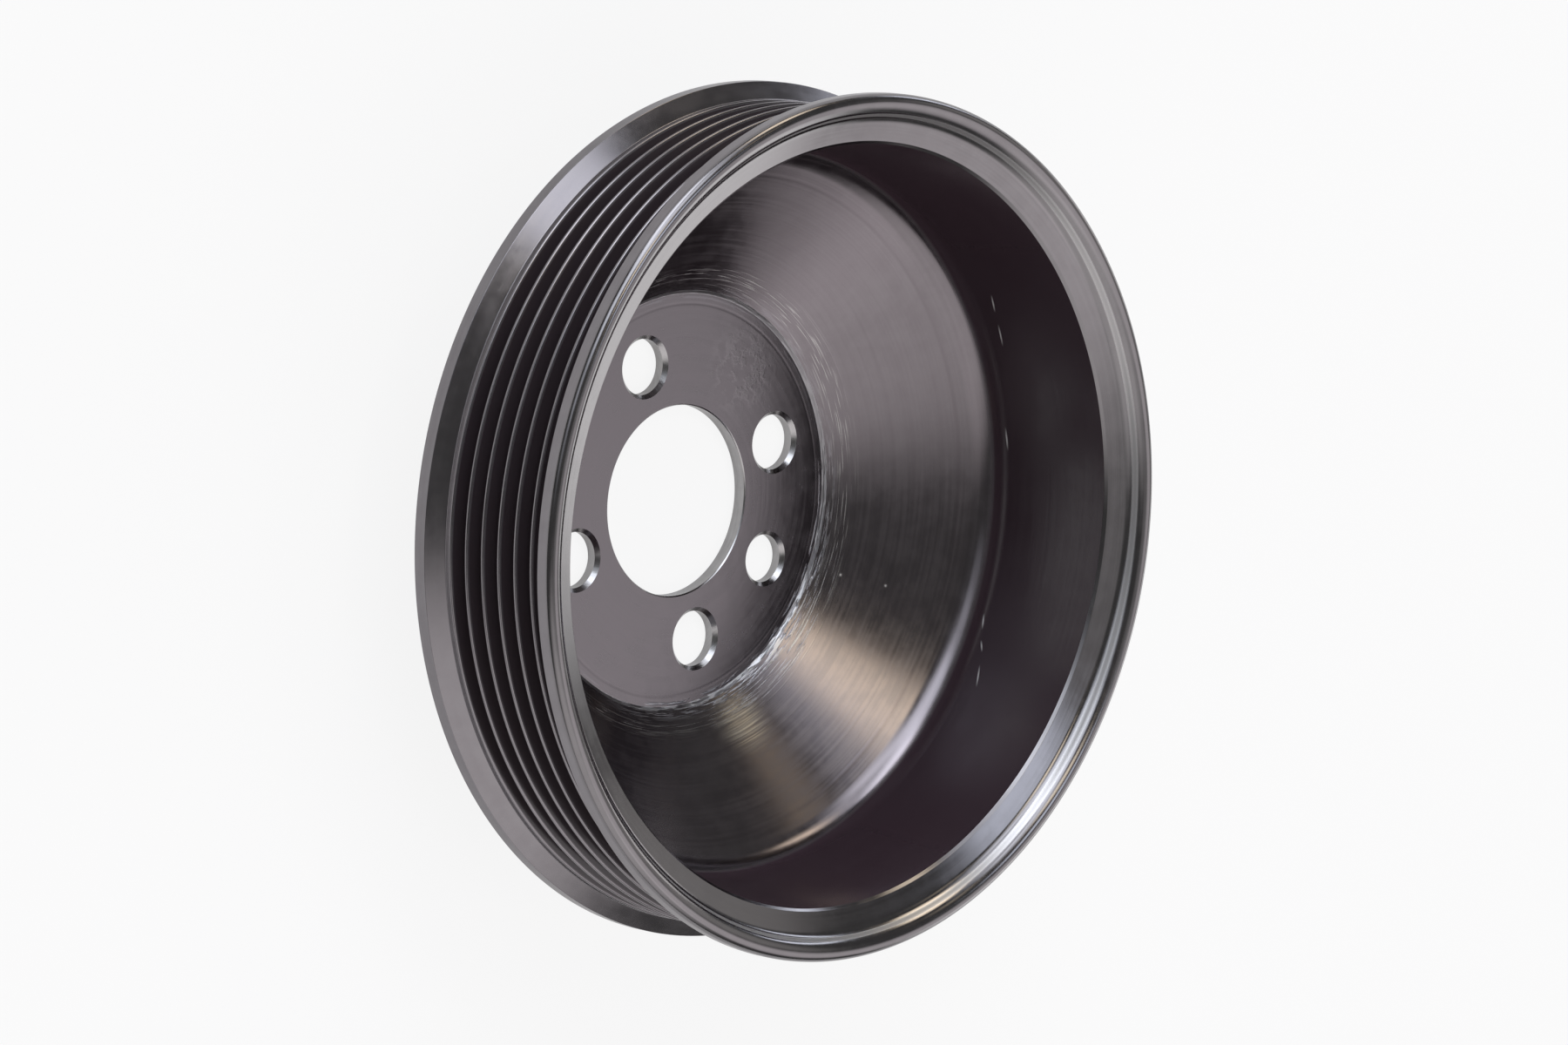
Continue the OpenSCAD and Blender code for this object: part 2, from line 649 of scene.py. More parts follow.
class Effects:
    """The node groups that several finishes share."""

    MARK_DETAIL = 4.0
    MARK_LEVELS = (0.3, 0.7)
    BLOTCH_DETAIL = 5.0
    BLOTCH_ROUGHNESS = 0.6
    BLOTCH_LEVELS = (0.32, 0.68)
    SCUFF_DETAIL = 2.0
    SCUFF_FADE = 0.12
    # Side round the axis where the light falls: tears and the burr are painted lighter there, a painted
    # highlight
    LIT_TURN = 110.0
    LIT_LEVELS = (0.3, 0.94)
    LIT_LEAST = 0.12

    def __init__(self) -> None:
        """Build every group once."""
        self.place = self._place()
        self.marks = self._marks()
        self.blotches = self._blotches()
        self.scuffs = self._scuffs()
        self.lit_side = self._lit_side()

    @staticmethod
    def _open(name: str, inputs: list[str], outputs: dict[str, str]) -> tuple[Wiring, Node, Node]:
        """Start a node group.

        Args:
            name: The group's name.
            inputs: Names of its number inputs.
            outputs: Socket type of each output, by name.

        Returns:
            The group's wiring, its input node and its output node.
        """
        tree = bpy.data.node_groups.new(name, "ShaderNodeTree")
        for label in inputs:
            tree.interface.new_socket(label, in_out="INPUT", socket_type=NUMBER)
        for label, kind in outputs.items():
            tree.interface.new_socket(label, in_out="OUTPUT", socket_type=kind)
        wiring = Wiring(tree)
        return wiring, wiring.add("NodeGroupInput"), wiring.add("NodeGroupOutput")

    def _place(self) -> Tree:
        """Give the place on the pulley: radius and height in millimetres, and the direction round it.

        Returns:
            The node group.
        """
        kinds = {"Radius": NUMBER, "Height": NUMBER, "Round": "NodeSocketVector"}
        wiring, _, out = self._open("lathe_place", [], kinds)
        spot = wiring.add("ShaderNodeTexCoord").outputs["Object"]
        flat = wiring.vector("MULTIPLY", spot, (1 / MM, 1 / MM, 0)).outputs["Vector"]
        parts = wiring.add("ShaderNodeSeparateXYZ")
        wiring.feed(parts.inputs[0], spot)
        wiring.feed(out.inputs["Radius"], wiring.vector("LENGTH", flat, (0, 0, 0)).outputs["Value"])
        wiring.feed(out.inputs["Height"], wiring.math("MULTIPLY", parts.outputs["Z"], 1 / MM))
        wiring.feed(out.inputs["Round"], wiring.vector("NORMALIZE", flat, (0, 0, 0)).outputs["Vector"])
        return wiring.tree

    def _lathe_noise(self, wiring: Wiring, given: Node, detail: float) -> Socket:
        """Add a noise that is drawn out round the turning axis.

        Args:
            wiring: The tree that it goes into.
            given: Input node with the lines for each millimetre and how fast they wander.
            detail: Detail of the noise.

        Returns:
            The noise, from 0 to 1.
        """
        place = wiring.group(self.place)
        across = wiring.math("ADD", place.outputs["Radius"], place.outputs["Height"])
        parts = wiring.add("ShaderNodeSeparateXYZ")
        wiring.feed(parts.inputs[0], place.outputs["Round"])
        join = wiring.add("ShaderNodeCombineXYZ")
        wiring.feed(join.inputs["X"], wiring.math("MULTIPLY", across, given.outputs["Lines"]))
        for side, target in (("X", "Y"), ("Y", "Z")):
            along = wiring.math("MULTIPLY", parts.outputs[side], given.outputs["Wander"])
            wiring.feed(join.inputs[target], along)
        noise = wiring.add("ShaderNodeTexNoise")
        noise.inputs["Scale"].default_value = 1.0
        noise.inputs["Detail"].default_value = detail
        wiring.feed(noise.inputs["Vector"], join.outputs[0])
        return noise.outputs["Fac"]

    def _marks(self) -> Tree:
        """Give fine turning marks.

        Returns:
            The node group.
        """
        wiring, given, out = self._open("turning_marks", ["Lines", "Wander"], {"Marks": NUMBER})
        noise = self._lathe_noise(wiring, given, self.MARK_DETAIL)
        wiring.feed(out.inputs["Marks"], wiring.ramp(noise, *self.MARK_LEVELS))
        return wiring.tree

    def _blotches(self) -> Tree:
        """Give soft uneven patches in the coat.

        Returns:
            The node group.
        """
        wiring, given, out = self._open("coat_blotches", ["Scale"], {"Blotches": NUMBER})
        noise = wiring.add("ShaderNodeTexNoise")
        noise.inputs["Detail"].default_value = self.BLOTCH_DETAIL
        noise.inputs["Roughness"].default_value = self.BLOTCH_ROUGHNESS
        wiring.feed(noise.inputs["Vector"], wiring.add("ShaderNodeTexCoord").outputs["Object"])
        wiring.feed(noise.inputs["Scale"], given.outputs["Scale"])
        wiring.feed(out.inputs["Blotches"], wiring.ramp(noise.outputs["Fac"], *self.BLOTCH_LEVELS))
        return wiring.tree

    def _scuffs(self) -> Tree:
        """Give short scuffs that run round the axis.

        Returns:
            The node group.
        """
        wiring, given, out = self._open("short_scuffs", ["Lines", "Wander", "Level"], {"Scuffs": NUMBER})
        noise = self._lathe_noise(wiring, given, self.SCUFF_DETAIL)
        above = wiring.math("SUBTRACT", noise, given.outputs["Level"])
        wiring.feed(out.inputs["Scuffs"], wiring.ramp(above, 0.0, self.SCUFF_FADE))
        return wiring.tree

    def _lit_side(self) -> Tree:
        """Give the side where the light falls, on which tears and the burr are painted lighter as a painted
        highlight.

        Returns:
            The node group.
        """
        wiring, _, out = self._open("painted_lit_side", [], {"Lit": NUMBER})
        turn = math.radians(self.LIT_TURN)
        towards = wiring.group(self.place).outputs["Round"]
        facing = wiring.vector("DOT_PRODUCT", towards, (math.cos(turn), math.sin(turn), 0))
        lit_side = wiring.ramp(facing.outputs["Value"], *self.LIT_LEVELS, self.LIT_LEAST, 1.0)
        wiring.feed(out.inputs["Lit"], lit_side)
        return wiring.tree


@dataclass(frozen=True)
class Scuffs:
    """How a stretch is scuffed.

    Attributes:
        lines: Scuffs for each millimetre across them.
        wander: How fast they change along their length.
        level: How much of the stretch stays clear, from 0 to 1.
    """

    lines: float
    wander: float
    level: float

    def mask(self, wiring: Wiring, effects: Effects) -> Socket:
        """Give where the scuffs show."""
        values = {"Lines": self.lines, "Wander": self.wander, "Level": self.level}
        return wiring.group(effects.scuffs, **values).outputs["Scuffs"]

    def torn_and_lit(self, wiring: Wiring, effects: Effects) -> Socket:
        """Give where they show, mostly on the side where the light falls: real tears with a painted
        highlight.
        """
        return wiring.both(self.mask(wiring, effects), wiring.group(effects.lit_side).outputs["Lit"])


@dataclass(frozen=True)
class Detail:
    """One thing that shows on a stretch of the coat, in millimetres.

    Attributes:
        mask: Where it shows.
        colour: Tint of the coat there.
        rough: Least roughness there.
        height: How far it stands up; less than 0 for a scratch.
        metal: Share of bare-metal sheen there.
    """

    mask: Socket
    colour: Colour
    rough: float = 0.0
    height: float = 0.0
    metal: float = 1.0


@dataclass(frozen=True)
class Finish:
    """How one worked stretch of the coat looks, in millimetres.

    Attributes:
        zone: The stretch that it covers.
        colour: Tint of the coat.
        streak: Tint where the marks and blotches show.
        smooth: Roughness between the marks.
        rough: Roughness in the marks.
        lines: Turning marks for each millimetre.
        wander: How fast the marks change along their length.
        depth: Depth of the marks.
        blotch: Share of the blotches in the tint.
        blotch_scale: Fineness of the blotches.
        gloss_index: Index of refraction where the coat isn't bare metal.
    """

    zone: Zone
    colour: Colour
    streak: Colour
    smooth: float
    rough: float
    lines: float = 1.4
    wander: float = 1.5
    depth: float = 0.002
    blotch: float = 0.5
    blotch_scale: float = 260.0
    gloss_index: float = 1.5

    def details(self, wiring: Wiring, effects: Effects) -> list[Detail]:
        """Give what only this stretch shows; a plain stretch shows nothing more."""
        return []

    def material(self, effects: Effects) -> bpy.types.Material:
        """Build the finish's material.

        Args:
            effects: The shared node groups.

        Returns:
            A new material named after the zone.
        """
        made = bpy.data.materials.new(self.zone.value)
        made.use_nodes = True
        wiring = Wiring(made.node_tree)
        shader = made.node_tree.nodes["Principled BSDF"]
        marks = wiring.group(effects.marks, Lines=self.lines, Wander=self.wander).outputs["Marks"]
        blotches = wiring.group(effects.blotches, Scale=self.blotch_scale).outputs["Blotches"]
        tone = wiring.plus(wiring.math("MULTIPLY", marks, 1 - self.blotch), blotches, self.blotch)
        tint = wiring.blend(tone, self.colour, self.streak)
        rough = wiring.ramp(tone, 0.0, 1.0, self.smooth, self.rough)
        height = wiring.math("MULTIPLY", marks, self.depth)
        metal: Source = 1.0
        for detail in self.details(wiring, effects):
            tint = wiring.blend(detail.mask, tint, detail.colour)
            rough = wiring.math("MAXIMUM", rough, wiring.math("MULTIPLY", detail.mask, detail.rough))
            height = wiring.plus(height, detail.mask, detail.height)
            if detail.metal < 1:
                metal = wiring.plus(metal, detail.mask, detail.metal - 1)
        bump = wiring.add("ShaderNodeBump")
        bump.inputs["Distance"].default_value = MM
        wiring.feed(bump.inputs["Height"], height)
        wiring.feed(shader.inputs["Base Color"], tint)
        wiring.feed(shader.inputs["Roughness"], rough)
        wiring.feed(shader.inputs["Normal"], bump.outputs["Normal"])
        wiring.feed(shader.inputs["Metallic"], metal)
        shader.inputs["IOR"].default_value = self.gloss_index
        return made


@dataclass(frozen=True)
class TrackFinish(Finish):
    """The grooved track: its grooves are painted darker than the crests and bands, a painted shade in the
    recesses.
    """

    # Dark coat colour in the grooves: painted shade where the recesses fall dark
    groove_shade_colour: Colour = (0.035, 0.026, 0.03)
    groove_r: float = 65.0
    crest_r: float = 65.4
    groove_low: float = 18.9
    groove_high: float = 19.4

    def details(self, wiring: Wiring, effects: Effects) -> list[Detail]:
        """Give the painted shade in the grooves.

        Args:
            wiring: The material's tree.
            effects: The shared node groups.

        Returns:
            The grooves' painted shade alone.
        """
        place = wiring.group(effects.place)
        shaded_groove = wiring.ramp(place.outputs["Radius"], self.groove_r, self.crest_r, 1.0, 0.0)
        beyond = wiring.ramp(place.outputs["Height"], self.groove_low, self.groove_high)
        # The grooves get a darker coat colour as painted shade
        return [Detail(wiring.both(shaded_groove, beyond), self.groove_shade_colour, metal=0.0)]


@dataclass(frozen=True)
class FaceFinish(Finish):
    """The front face: the riser of its step is lighter and rougher, a painted highlight on the step."""

    # Lighter coat on the step's riser: a painted highlight
    riser_highlight_colour: Colour = (0.5, 0.49, 0.49)
    riser_inner_r: float = 64.55
    riser_outer_r: float = 64.95
    riser_fade: float = 0.2

    def details(self, wiring: Wiring, effects: Effects) -> list[Detail]:
        """Give the riser's painted highlight.

        Args:
            wiring: The material's tree.
            effects: The shared node groups.

        Returns:
            The riser's painted highlight alone.
        """
        radius = wiring.group(effects.place).outputs["Radius"]
        inside = wiring.ramp(radius, self.riser_inner_r - self.riser_fade, self.riser_inner_r)
        outside = wiring.ramp(radius, self.riser_outer_r, self.riser_outer_r + self.riser_fade, 1.0, 0.0)
        # The riser is painted lighter than the face, as a painted highlight
        return [Detail(wiring.both(inside, outside), self.riser_highlight_colour, rough=0.32, metal=0.7)]


@dataclass(frozen=True)
class HubFinish(Finish):
    """The hub's facing: a bruised patch, a line and a ragged burr near its edge, on the open side alone;
    the burr is painted lighter on the side where the light falls, a painted highlight.
    """

    patch_place: tuple[float, float, float] = (-20.5, -14.5, 2.5)
    patch_size: float = 10.0
    curl_scale: float = 240.0
    curl_level: float = 0.5
    curl_half: float = 0.35
    patch_colour: Colour = (0.25, 0.235, 0.245)
    line_r: float = 31.7
    line_half: float = 0.4
    burr_r: float = 32.85
    burr_half: float = 0.4
    burr: Scuffs = Scuffs(1.2, 8.0, 0.46)
    burr_colour: Colour = (0.42, 0.43, 0.46)
    front_low: float = 0.8
    front_high: float = 1.6

    def details(self, wiring: Wiring, effects: Effects) -> list[Detail]:
        """Give the bruised patch, the line and the burr with its painted highlight.

        Args:
            wiring: The material's tree.
            effects: The shared node groups.

        Returns:
            All three details.
        """
        place = wiring.group(effects.place)
        front = wiring.ramp(place.outputs["Height"], self.front_low, self.front_high)
        near = wiring.both(wiring.patch(Vector(self.patch_place), self.patch_size), front)
        stain = wiring.group(effects.blotches, Scale=self.curl_scale).outputs["Blotches"]
        curls = wiring.band(stain, self.curl_level, self.curl_half)
        line = wiring.both(wiring.band(place.outputs["Radius"], self.line_r, self.line_half), front)
        edge = wiring.both(wiring.band(place.outputs["Radius"], self.burr_r, self.burr_half), front)
        # The burr is real; its lighter colour gathered on the lit side is a painted highlight
        burr = wiring.both(edge, self.burr.torn_and_lit(wiring, effects))
        return [
            Detail(wiring.both(near, curls), self.patch_colour, rough=0.35, height=0.01),
            Detail(line, self.colour, height=-0.012),
            Detail(burr, self.burr_colour, rough=0.3, height=0.05),
        ]


@dataclass(frozen=True)
class RingFinish(Finish):
    """The torn ring where the hub's facing meets the dish."""

    tears: Scuffs = Scuffs(2.2, 10.0, 0.45)
    tear_colour: Colour = (0.7, 0.7, 0.72)

    def details(self, wiring: Wiring, effects: Effects) -> list[Detail]:
        """Give the tears, painted lighter on the side where the light falls as a painted highlight."""
        # The tears are real; their lighter colour gathered on the lit side is a painted highlight
        torn_and_lit = self.tears.torn_and_lit(wiring, effects)
        return [Detail(torn_and_lit, self.tear_colour, rough=0.33, height=0.12, metal=0.75)]


@dataclass(frozen=True)
class Stroke:
    """A short scratch or a speck inside the pulley, in degrees round the axis and millimetres.

    Attributes:
        turn: Angle of its middle.
        r: Distance of its middle from the turning axis.
        height: Height of its middle.
        length: Its length.
        lean: Rise for each millimetre round the wall.
    """

    turn: float
    r: float
    height: float
    length: float
    lean: float


@dataclass(frozen=True)
class DishFinish(Finish):
    """The dish and the painted wall, with scratches, a tool line, a painted glint near the hub, scuffs, and
    tears painted lighter on the lit side.
    """

    wall_colour: Colour = (0.045, 0.028, 0.036)
    wall_low: float = 17.4
    wall_high: float = 18.6
    line_r: float = 53.3
    line_half: float = 0.5
    scuff_r: float = 36.5
    scuff_half: float = 2.6
    scuffs: Scuffs = Scuffs(3.4, 5.0, 0.54)
    scuff_colour: Colour = (0.42, 0.41, 0.4)
    tear_r: float = 34.3
    tear_half: float = 1.5
    tears: Scuffs = Scuffs(2.4, 9.0, 0.48)
    tear_colour: Colour = (0.5, 0.5, 0.53)
    # A lighter, streaked spot near the hub that catches the warm lamp: a painted glint
    glint_turn: float = 89.0
    glint_r: float = 38.6
    glint_height: float = 5.8
    glint_size: float = 6.5
    glint_lines: float = 2.0
    glint_wander: float = 3.0
    glint_colour: Colour = (0.6, 0.58, 0.54)
    stroke_colour: Colour = (0.75, 0.73, 0.73)
    stroke_half: float = 0.22
    strokes: tuple[Stroke, ...] = (
        Stroke(-168.0, 58.7, 23.9, 4.0, 0.2),
        Stroke(-174.0, 58.7, 23.1, 4.6, 0.1),
        Stroke(168.0, 58.6, 20.6, 4.4, -0.05),
        Stroke(138.0, 58.5, 20.2, 3.0, -0.2),
        Stroke(134.0, 58.6, 21.4, 2.4, -0.5),
        Stroke(129.0, 58.7, 23.0, 4.4, -0.3),
        Stroke(137.8, 38.1, 5.5, 1.0, 0.0),
        Stroke(138.8, 44.8, 9.5, 0.9, 0.0),
    )

    def _stroke_mask(self, wiring: Wiring, spot: Socket, stroke: Stroke) -> Socket:
        """Give the mask of one scratch.

        Args:
            wiring: The material's tree.
            spot: The place on the pulley, in metres.
            stroke: The scratch.

        Returns:
            The mask.
        """
        turn = math.radians(stroke.turn)
        middle = Vector((stroke.r * math.cos(turn), stroke.r * math.sin(turn), stroke.height)) * MM
        along = Vector((-math.sin(turn), math.cos(turn), stroke.lean)).normalized()
        across = along.cross(Vector((math.cos(turn), math.sin(turn), 0)))
        offset = wiring.vector("SUBTRACT", spot, middle).outputs["Vector"]
        run = wiring.vector("DOT_PRODUCT", offset, along).outputs["Value"]
        side = wiring.vector("DOT_PRODUCT", offset, across).outputs["Value"]
        long_mask = wiring.band(run, 0.0, stroke.length / 2 * MM)
        thin_mask = wiring.band(side, 0.0, self.stroke_half * MM)
        return wiring.both(long_mask, thin_mask)

    def details(self, wiring: Wiring, effects: Effects) -> list[Detail]:
        """Give the wall, the tool line, the scuffs, the painted glint, the tears on the lit side and the
        scratches.

        Args:
            wiring: The material's tree.
            effects: The shared node groups.

        Returns:
            All of these details.
        """
        place = wiring.group(effects.place)
        radius = place.outputs["Radius"]
        spot = wiring.add("ShaderNodeTexCoord").outputs["Object"]
        wall = wiring.ramp(place.outputs["Height"], self.wall_low, self.wall_high)
        line = wiring.band(radius, self.line_r, self.line_half)
        belt = wiring.band(radius, self.scuff_r, self.scuff_half)
        scuffed = wiring.both(belt, self.scuffs.mask(wiring, effects))
        # The painted glint: a lighter streaked spot standing in for a highlight near the hub
        turn = math.radians(self.glint_turn)
        centre = Vector((self.glint_r * math.cos(turn), self.glint_r * math.sin(turn), self.glint_height))
        glint_streaks = wiring.group(effects.marks, Lines=self.glint_lines, Wander=self.glint_wander).outputs["Marks"]
        painted_glint = wiring.both(wiring.patch(centre, self.glint_size), glint_streaks)
        collar = wiring.band(radius, self.tear_r, self.tear_half)
        # The tears are real; their lighter colour gathered on the lit side is a painted highlight
        torn_and_lit = wiring.both(collar, self.tears.torn_and_lit(wiring, effects))
        found = [
            Detail(wall, self.wall_colour, metal=0.0),
            Detail(line, self.colour, height=0.005),
            Detail(scuffed, self.scuff_colour, rough=0.3, height=-0.012),
            Detail(painted_glint, self.glint_colour, rough=0.2),
            Detail(torn_and_lit, self.tear_colour, rough=0.3, height=0.04, metal=0.9),
        ]
        for stroke in self.strokes:
            mask = self._stroke_mask(wiring, spot, stroke)
            found.append(Detail(mask, self.stroke_colour, rough=0.4, height=-0.01))
        return found


@dataclass
class Pulley:
    """The whole pulley: its section, its holes and its finishes."""

    lathe_steps: int = 360
    arc_step: float = 16.0
    smooth_angle: float = 28.0
    flat_weight: int = 95
    flat_least: float = 0.9
    face_least: float = 0.2
    ring_inner_r: float = 32.9
    ring_outer_r: float = 35.2
    track: BeltTrack = field(default_factory=BeltTrack)

    def __post_init__(self) -> None:
        """Set the inner stretches on the track that carries them."""
        self.face = FrontFace(self.track)
        self.dish = DishAndHub(self.track, self.face)
        self.holes = HubHoles(self.dish.hub_thickness)

    def outline(self) -> list[Point]:
        """Give the rounded section of the whole pulley.

        Returns:
            The points of the closed outline, in millimetres.
        """
        corners = self.dish.outer_corners() + self.track.corners()
        corners += self.face.corners() + self.dish.inner_corners()
        return round_outline(corners, math.radians(self.arc_step))

    def zone_of(self, place: Vector, normal: Vector) -> Zone:
        """Tell which stretch a face belongs to.

        Args:
            place: The face's middle, in metres.
            normal: The face's outward normal.

        Returns:
            The stretch that the face lies on.
        """
        r = place.xy.length / MM
        z = place.z / MM
        outwards = normal.xy.dot(place.xy.normalized())
        if r < self.ring_inner_r:
            return Zone.HUB if abs(normal.z) > self.flat_least else Zone.EDGE
        if r < self.ring_outer_r and normal.z > 0:
            return Zone.RING
        if r < self.face.mouth_r and (normal.z > 0 or outwards < 0):
            return Zone.DISH
        if z > self.track.front_flank_z - self.track.front_band and normal.z > self.face_least:
            return Zone.FACE
        return Zone.TRACK

    def build(self) -> bpy.types.Object:
        """Turn, drill and smooth the pulley.

        Returns:
            The finished mesh object at the origin.
        """
        piece = turn_on_lathe(PIECE, self.outline(), self.lathe_steps)
        self.holes.drill(piece)
        make_active(piece)
        bpy.ops.object.shade_smooth_by_angle(angle=math.radians(self.smooth_angle))
        bpy.ops.object.modifier_add(type="WEIGHTED_NORMAL")
        flats = piece.modifiers[-1]
        flats.keep_sharp = True
        flats.weight = self.flat_weight
        bpy.ops.object.modifier_apply(modifier=flats.name)
        return piece

    def dress(self, piece: bpy.types.Object, finishes: list[Finish]) -> None:
        """Give each stretch of the pulley its finish.

        Args:
            piece: The built pulley.
            finishes: One finish for each zone.
        """
        order = {}
        effects = Effects()
        for k, finish in enumerate(finishes):
            piece.data.materials.append(finish.material(effects))
            order[finish.zone] = k
        for polygon in piece.data.polygons:
            polygon.material_index = order[self.zone_of(polygon.center, polygon.normal)]


@dataclass(frozen=True)
class Viewpoint:
    """Where the photograph was taken from, in millimetres and degrees.

    Attributes:
        azimuth: Turn round the pulley, with 0 looking along +Y.
        elevation: Angle above the floor.
        roll: Turn of the camera about its own line of sight.
        distance: Distance from the aim point.
        aim: The point in the middle of the frame.
        lens: Focal length on a frame 36 mm wide.
        nearest: Distance from which things show, in metres.
        farthest: Distance up to which they show, in metres.
    """

    azimuth: float = 59.54
    elevation: float = 43.61
    roll: float = 99.03
    distance: float = 1086.9
    aim: tuple[float, float, float] = (7.69, -3.64, 34.66)
    lens: float = 160.0
    nearest: float = 0.01
    farthest: float = 100.0

    def axes(self) -> Matrix:
        """Give the camera's right, up and backward directions.

        Returns:
            A 3 by 3 matrix with those directions as its columns.
        """
        turn = math.radians(self.azimuth)
        roll = math.radians(self.roll)
        back = direction(self.azimuth, self.elevation)
        level = Vector((math.cos(turn), math.sin(turn), 0))
        upright = back.cross(level)
        right = level * math.cos(roll) + upright * math.sin(roll)
        up = upright * math.cos(roll) - level * math.sin(roll)
        return Matrix((right, up, back)).transposed()

    def place_camera(self) -> bpy.types.Object:
        """Add the camera and make it the scene's own.

        Returns:
            The new camera.
        """
        data = bpy.data.cameras.new("photo_camera")
        data.lens = self.lens
        data.clip_start = self.nearest
        data.clip_end = self.farthest
        camera = bpy.data.objects.new("photo_camera", data)
        bpy.context.scene.collection.objects.link(camera)
        axes = self.axes()
        place = Vector(self.aim) * MM + axes.col[2] * self.distance * MM
        camera.matrix_world = Matrix.Translation(place) @ axes.to_4x4()
        bpy.context.scene.camera = camera
        return camera


@dataclass(frozen=True)
class SoftLight:
    """One soft light of the room, in degrees.

    Attributes:
        azimuth: Turn round the pulley, with 0 looking along +Y.
        elevation: Angle above the floor.
        core: Half of the width that is fully bright.
        reach: Half of the width at which it has faded out.
        strength: Brightness of the core.
        colour: Tint of the light.
    """

    azimuth: float
    elevation: float
    core: float
    reach: float
    strength: float
    colour: Colour


@dataclass(frozen=True)
class Studio:
    """The floor, in metres, and the soft light round the pulley.

    The floor glows by paper_share to the camera and by mirrored_share in reflections.
    """

    lights: tuple[SoftLight, ...]
    floor_size: float = 12.0
    floor_drop: float = 0.0001
    floor_colour: Colour = (0.88, 0.88, 0.88)
    paper_share: float = 0.87
    mirrored_share: float = 0.35
    dim_level: float = 0.12

    def lay_floor(self) -> bpy.types.Object:
        """Lay a plain pale floor that keeps the pulley's shadow.

        Returns:
            The floor.
        """
        deselect_all()
        bpy.ops.mesh.primitive_plane_add(size=self.floor_size, location=(0, 0, -self.floor_drop))
        floor = bpy.context.object
        floor.name = "floor"
        paper = bpy.data.materials.new("pale_floor")
        paper.use_nodes = True
        paper.node_tree.nodes.clear()
        wiring = Wiring(paper.node_tree)
        matt = wiring.add("ShaderNodeBsdfDiffuse")
        matt.inputs["Color"].default_value = (*self.floor_colour, 1)
        rays = wiring.add("ShaderNodeLightPath")
        glossy, through = rays.outputs["Is Glossy Ray"], rays.outputs["Is Transmission Ray"]
        mirrored = wiring.math("MAXIMUM", glossy, through)
        seen = wiring.math("MULTIPLY", rays.outputs["Is Camera Ray"], self.paper_share)
        mix = wiring.add("ShaderNodeMixShader")
        wiring.feed(mix.inputs["Fac"], wiring.plus(seen, mirrored, self.mirrored_share))
        wiring.feed(mix.inputs[1], matt.outputs[0])
        wiring.feed(mix.inputs[2], wiring.add("ShaderNodeEmission").outputs[0])
        wiring.feed(wiring.add("ShaderNodeOutputMaterial").inputs["Surface"], mix.outputs[0])
        floor.data.materials.append(paper)
        return floor

    def light_room(self) -> None:
        """Fill the room with its soft lights, and show the camera a plain white one."""
        world = bpy.data.worlds.new("studio")
        world.use_nodes = True
        world.node_tree.nodes.clear()
        wiring = Wiring(world.node_tree)
        towards = wiring.add("ShaderNodeTexCoord").outputs["Generated"]
        total: Source = (self.dim_level,) * 3
        for light in self.lights:
            facing = wiring.vector("DOT_PRODUCT", towards, direction(light.azimuth, light.elevation))
            edge = math.cos(math.radians(light.reach))
            core = math.cos(math.radians(light.core))
            glow = wiring.ramp(facing.outputs["Value"], edge, core, 0.0, light.strength)
            tinted = wiring.add("ShaderNodeVectorMath", operation="SCALE")
            tinted.inputs[0].default_value = light.colour
            wiring.feed(tinted.inputs["Scale"], glow)
            total = wiring.vector("ADD", tinted.outputs["Vector"], total).outputs["Vector"]
        rays = wiring.add("ShaderNodeLightPath")
        shown = wiring.blend(rays.outputs["Is Camera Ray"], total, (1, 1, 1))
        background = wiring.add("ShaderNodeBackground")
        wiring.feed(background.inputs["Color"], shown)
        wiring.feed(wiring.add("ShaderNodeOutputWorld").inputs["Surface"], background.outputs[0])
        bpy.context.scene.world = world


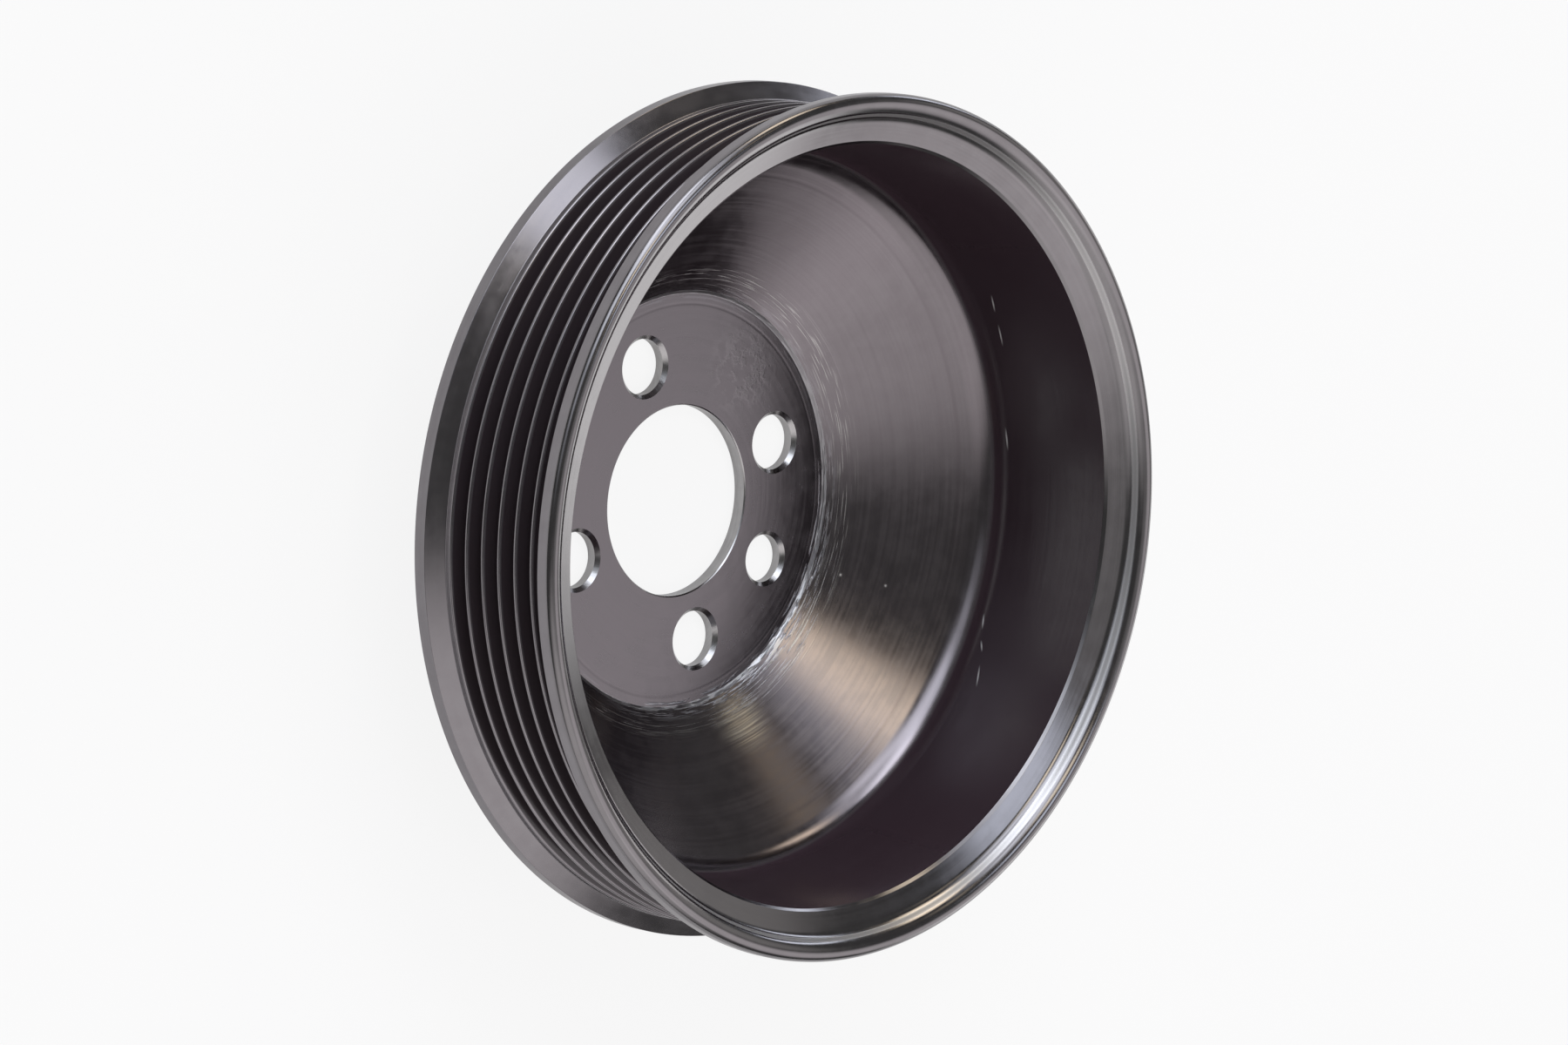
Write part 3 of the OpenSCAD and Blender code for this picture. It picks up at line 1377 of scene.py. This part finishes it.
FINISHES = [
    TrackFinish(Zone.TRACK, (0.24, 0.225, 0.235), (0.28, 0.265, 0.275), 0.15, 0.22),
    FaceFinish(Zone.FACE, (0.21, 0.20, 0.205), (0.24, 0.23, 0.235), 0.13, 0.2),
    DishFinish(Zone.DISH, (0.19, 0.17, 0.18), (0.22, 0.20, 0.21), 0.16, 0.23, gloss_index=1.6),
    RingFinish(
        Zone.RING, (0.24, 0.23, 0.24), (0.38, 0.37, 0.38), 0.28, 0.4, lines=3.0, wander=9.0, depth=0.015
    ),
    HubFinish(Zone.HUB, (0.19, 0.175, 0.185), (0.215, 0.20, 0.21), 0.2, 0.28),
    Finish(Zone.EDGE, (0.4, 0.39, 0.39), (0.5, 0.49, 0.49), 0.12, 0.22, lines=3.0, wander=4.0),
]

LIGHTS = (
    SoftLight(140, 37, 18, 46, 0.9, (1.0, 0.97, 0.98)),
    SoftLight(-147, 46, 12, 33, 1.0, (1.0, 0.95, 0.98)),
    SoftLight(-131, 8, 8, 21, 1.7, (1.0, 1.0, 1.0)),
    SoftLight(-99, 24, 8, 18, 0.4, (1.0, 0.97, 0.95)),
    SoftLight(-15, 30, 10, 26, 1.3, (0.92, 0.96, 1.05)),
    SoftLight(-9, 15, 7, 16, 2.8, (0.92, 0.96, 1.05)),
    SoftLight(-27, 47, 6, 14, 1.5, (0.92, 0.96, 1.05)),
    SoftLight(6, 36, 8, 20, 1.8, (0.9, 0.96, 1.06)),
    SoftLight(28, 36, 5, 18, 0.7, (0.9, 0.96, 1.06)),
    SoftLight(48, 34, 4, 15, 0.35, (0.9, 0.96, 1.06)),
    SoftLight(-26, 62, 2, 9, 3.2, (1.0, 0.88, 0.68)),
    SoftLight(-55, 43, 2, 6, 0.65, (1.0, 0.84, 0.6)),
    SoftLight(-77, 64, 4, 10, 2.1, (0.88, 0.95, 1.1)),
    SoftLight(-140, 80, 8, 24, 0.25, (1.0, 0.97, 0.98)),
    SoftLight(-76, 1, 5, 11, 3.0, (0.9, 0.96, 1.08)),
    SoftLight(-103, 2, 4, 10, 1.6, (1.0, 0.98, 0.97)),
    SoftLight(-44, 15, 4, 12, 3.4, (1.0, 0.86, 0.66)),
)


def main() -> None:
    """Build the pulley, its studio and the camera."""
    logging.basicConfig(level=logging.INFO, format="%(message)s")
    bpy.context.scene.view_settings.view_transform = "Standard"
    pulley = Pulley()
    piece = pulley.build()
    pulley.dress(piece, FINISHES)
    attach(piece, BODY)
    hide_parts(NODE)
    piece.data.calc_loop_triangles()
    log.info("%s: %d triangles", piece.name, len(piece.data.loop_triangles))
    studio = Studio(LIGHTS)
    studio.lay_floor()
    studio.light_room()
    Viewpoint().place_camera()
    log.info("floor, room and camera are in place")


if __name__ == "__main__":
    main()
